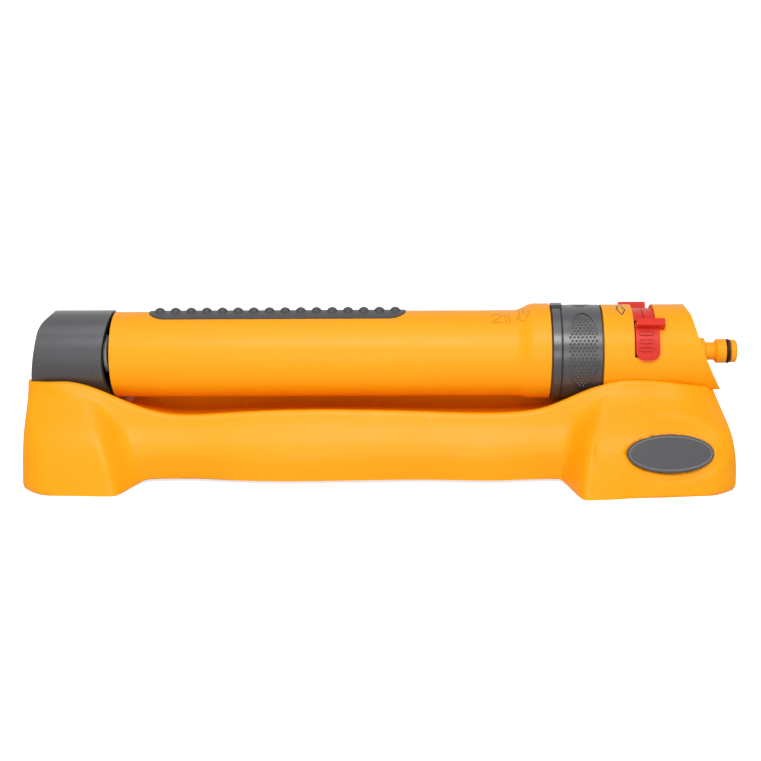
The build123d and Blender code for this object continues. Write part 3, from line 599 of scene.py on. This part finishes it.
rows, columns = 29, 9
ROW_RATIO = 0.866
grid = node(
    studs,
    "GeometryNodeMeshGrid",
    {},
    {
        "Vertices X": columns,
        "Vertices Y": rows,
        "Size X": given["Pitch"] * (columns - 1),
        "Size Y": given["Pitch"] * (rows - 1) * ROW_RATIO,
    },
)
across = node(studs, "ShaderNodeSeparateXYZ", {}, [node(studs, "GeometryNodeInputPosition")])
climb = Socket(studs, across.link.node.outputs[1])


def ratio(a, b):
    """One socket divided by another."""
    return node(studs, "ShaderNodeMath", {"operation": "DIVIDE"}, [a, b])


row = ratio(climb * (1 / ROW_RATIO), given["Pitch"])
odd = node(studs, "ShaderNodeMath", {"operation": "PINGPONG"}, [row, 1.0])
shifted = across + (odd - 0.5) * given["Pitch"] * 0.5
wide = ratio(shifted, given["Half Width"])
tall = ratio(climb, given["Half Reach"])
outside = node(
    studs,
    "FunctionNodeCompare",
    {"data_type": "FLOAT", "operation": "GREATER_THAN"},
    [wide * wide + tall * tall, 1.0],
)
turned_by = given["Centre Angle"] * (math.pi / 180) + ratio(climb, given["Radius"]) * -1.0
sine = node(studs, "ShaderNodeMath", {"operation": "SINE"}, [turned_by])
cosine = node(studs, "ShaderNodeMath", {"operation": "COSINE"}, [turned_by])
wrapped = node(
    studs,
    "ShaderNodeCombineXYZ",
    {},
    [
        shifted + given["Centre X"],
        sine * given["Radius"] * -1.0,
        cosine * given["Radius"] + given["Axis Height"],
    ],
)
kept = node(studs, "GeometryNodeDeleteGeometry", {}, {"Geometry": grid, "Selection": outside})
placed = node(studs, "GeometryNodeSetPosition", {}, {"Geometry": kept, "Position": wrapped})
stud = node(
    studs,
    "GeometryNodeMeshUVSphere",
    {},
    {"Segments": 8, "Rings": 5, "Radius": given["Stud"]},
)
many = node(studs, "GeometryNodeInstanceOnPoints", {}, {"Points": placed, "Instance": stud})
real = node(studs, "GeometryNodeRealizeInstances", {}, [many])
painted = node(studs, "GeometryNodeSetMaterial", {}, {"Geometry": real, "Material": charcoal})
node(studs, "NodeGroupOutput", {}, [painted])

GRIP_INSET = 12.8 * MM
GRIP_ANGLE = 76.0
collar_low, collar_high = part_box("selector_collar")
print("collar from", round(collar_low[0], 4), "to", round(collar_high[0], 4))
for index in range(3):
    values = {
        "Centre X": collar_high[0] - GRIP_INSET,
        "Centre Angle": GRIP_ANGLE + 120.0 * index,
        "Axis Height": AXIS_Z,
        "Radius": 0.0303,
        "Stud": 0.0009,
    }
    patch = baked(f"grip_studs_{index + 1}", studs, values, "collar")
    print(patch.name, len(patch.data.polygons), "faces")

# %% [markdown]
# The rubber strip has sixteen jets. In the solid model each is three short cones, which is
# enough to mould and to simulate, but it catches the light in bands. Geometry Nodes set a
# smooth dome over each one: a line of points with one dome instanced on them. The tree takes
# the pitch, the count and the dome's size as inputs.

# %% Smooth jets on the strip
jets = bpy.data.node_groups.new("jet domes", "GeometryNodeTree")
jets.interface.new_socket("Geometry", in_out="OUTPUT", socket_type="NodeSocketGeometry")
tree_input(jets, "Count", "NodeSocketInt", 16)
tree_input(jets, "First X", "NodeSocketFloat", -0.1479)
tree_input(jets, "Pitch", "NodeSocketFloat", 0.01039)
tree_input(jets, "Foot", "NodeSocketFloat", 0.105)
tree_input(jets, "Dome", "NodeSocketFloat", 0.0038)
tree_input(jets, "Rise", "NodeSocketFloat", 0.0036)
group = jets.nodes.new("NodeGroupInput")
given = {s.name: Socket(jets, s) for s in group.outputs if s.name}
start = node(jets, "ShaderNodeCombineXYZ", {}, [given["First X"], 0.0, given["Foot"]])
stride = node(jets, "ShaderNodeCombineXYZ", {}, [given["Pitch"], 0.0, 0.0])
line = node(
    jets,
    "GeometryNodeMeshLine",
    {"mode": "OFFSET"},
    {"Count": given["Count"], "Start Location": start, "Offset": stride},
)
ball = node(jets, "GeometryNodeMeshUVSphere", {}, {"Segments": 40, "Rings": 24, "Radius": 1.0})
spot = node(jets, "GeometryNodeInputPosition")
height = Socket(jets, node(jets, "ShaderNodeSeparateXYZ", {}, [spot]).link.node.outputs[2])
below = node(
    jets,
    "FunctionNodeCompare",
    {"data_type": "FLOAT", "operation": "LESS_THAN"},
    [height, -0.15],
)
cap = node(jets, "GeometryNodeDeleteGeometry", {}, {"Geometry": ball, "Selection": below})
stretch = node(
    jets, "ShaderNodeCombineXYZ", {}, [given["Dome"], given["Dome"], given["Rise"]]
)
domes = node(
    jets, "GeometryNodeInstanceOnPoints", {}, {"Points": line, "Instance": cap, "Scale": stretch}
)
whole = node(jets, "GeometryNodeRealizeInstances", {}, [domes])
whole = node(jets, "GeometryNodeSetMaterial", {}, {"Geometry": whole, "Material": strip_rubber})
node(jets, "NodeGroupOutput", {}, [whole])

JETS = 16
END_MARGIN = 7 * MM
DOME_RISE = 3.6 * MM
strip_low, strip_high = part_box("nozzle_strip")
values = {
    "Count": JETS,
    "First X": strip_low[0] + END_MARGIN,
    "Pitch": (strip_high[0] - strip_low[0] - 2 * END_MARGIN) / (JETS - 1),
    "Foot": strip_high[2] - DOME_RISE,
    "Rise": DOME_RISE,
}
domes = baked("jet_domes", jets, values, "barrel")
print("jet domes:", len(domes.data.polygons), "faces")

# %% [markdown]
# The sprinkler stands on a white sweep under soft light. One lamp hangs above and in front, a
# small low one draws the long highlights on the upright skins, a weak one lights the top,
# and a white world does the rest. The floor glows
# a little for the camera alone, so it reads as white and still keeps the contact shadow, and
# the world is white wherever it is seen, directly or mirrored.

# %% Floor and world
bpy.ops.mesh.primitive_plane_add(size=12, location=(0, 3, 0))
floor = bpy.context.object
floor.name = "floor"
paper = bpy.data.materials.new("white paper")
paper.use_nodes = True
tree = paper.node_tree
tree.nodes.clear()
seen = node(tree, "ShaderNodeLightPath")
matt = node(tree, "ShaderNodeBsdfDiffuse", {}, {"Color": (0.86, 0.86, 0.86, 1)})
glow = node(tree, "ShaderNodeEmission", {}, {"Color": (1, 1, 1, 1), "Strength": seen * 0.75})
both = node(tree, "ShaderNodeAddShader", {}, [matt, glow])
node(tree, "ShaderNodeOutputMaterial", {}, {"Surface": both})
floor.data.materials.append(paper)

world = bpy.data.worlds.new("studio")
world.use_nodes = True
tree = world.node_tree
tree.nodes.clear()
seen = node(tree, "ShaderNodeLightPath")
mirrored = Socket(tree, seen.link.node.outputs["Is Glossy Ray"])
through = Socket(tree, seen.link.node.outputs["Is Transmission Ray"])
strength = 0.3 + (seen + mirrored + through) * 0.7
sky = node(tree, "ShaderNodeBackground", {}, {"Color": (1, 1, 1, 1), "Strength": strength})
node(tree, "ShaderNodeOutputWorld", {}, {"Surface": sky})
bpy.context.scene.world = world


# %% Lamps
def softbox(name, place, aim, size, watts):
    """Square area lamp that looks at a point."""
    lamp = bpy.data.lights.new(name, "AREA")
    lamp.size = size
    lamp.energy = watts
    held = bpy.data.objects.new(name, lamp)
    held.location = place
    held.rotation_euler = (Vector(aim) - Vector(place)).to_track_quat("-Z", "Y").to_euler()
    bpy.context.collection.objects.link(held)
    return held


softbox("front_light", (0.0, -1.1, 1.15), (0, 0, 0.08), 0.5, 12.5)
softbox("low_light", (0.0, -1.7, 0.25), (0, 0, 0.08), 0.2, 4.5)
softbox("top_light", (-0.1, -0.3, 1.5), (0, 0, 0.08), 0.8, 4)

# %% [markdown]
# The camera stands a metre away, 15 degrees up and slightly to the right of the middle,
# with a long lens. These numbers were fitted to points that can be measured: both ends of
# the barrel, the feet, the nose.

# %% Camera
ELEVATION = 14.753
DISTANCE = 1.0207
YAW = 1.879
ROLL = -0.666
LENS = 72.32
TARGET = Vector((-0.00227, 0, 0.05858))

camera = bpy.data.objects.new("camera", bpy.data.cameras.new("camera"))
bpy.context.collection.objects.link(camera)
camera.data.lens = LENS
camera.data.sensor_width = 36
turn = math.radians(YAW)
tilt = math.radians(ELEVATION)
away = Vector((math.sin(turn) * math.cos(tilt), -math.cos(turn) * math.cos(tilt), math.sin(tilt)))
camera.location = TARGET + DISTANCE * away
look = (-away).to_track_quat("-Z", "Y").to_matrix().to_4x4()
spin = Matrix.Rotation(math.radians(ROLL), 4, "Z")
camera.matrix_world = Matrix.Translation(camera.location) @ look @ spin
bpy.context.scene.camera = camera
bpy.context.scene.view_settings.view_transform = "Standard"
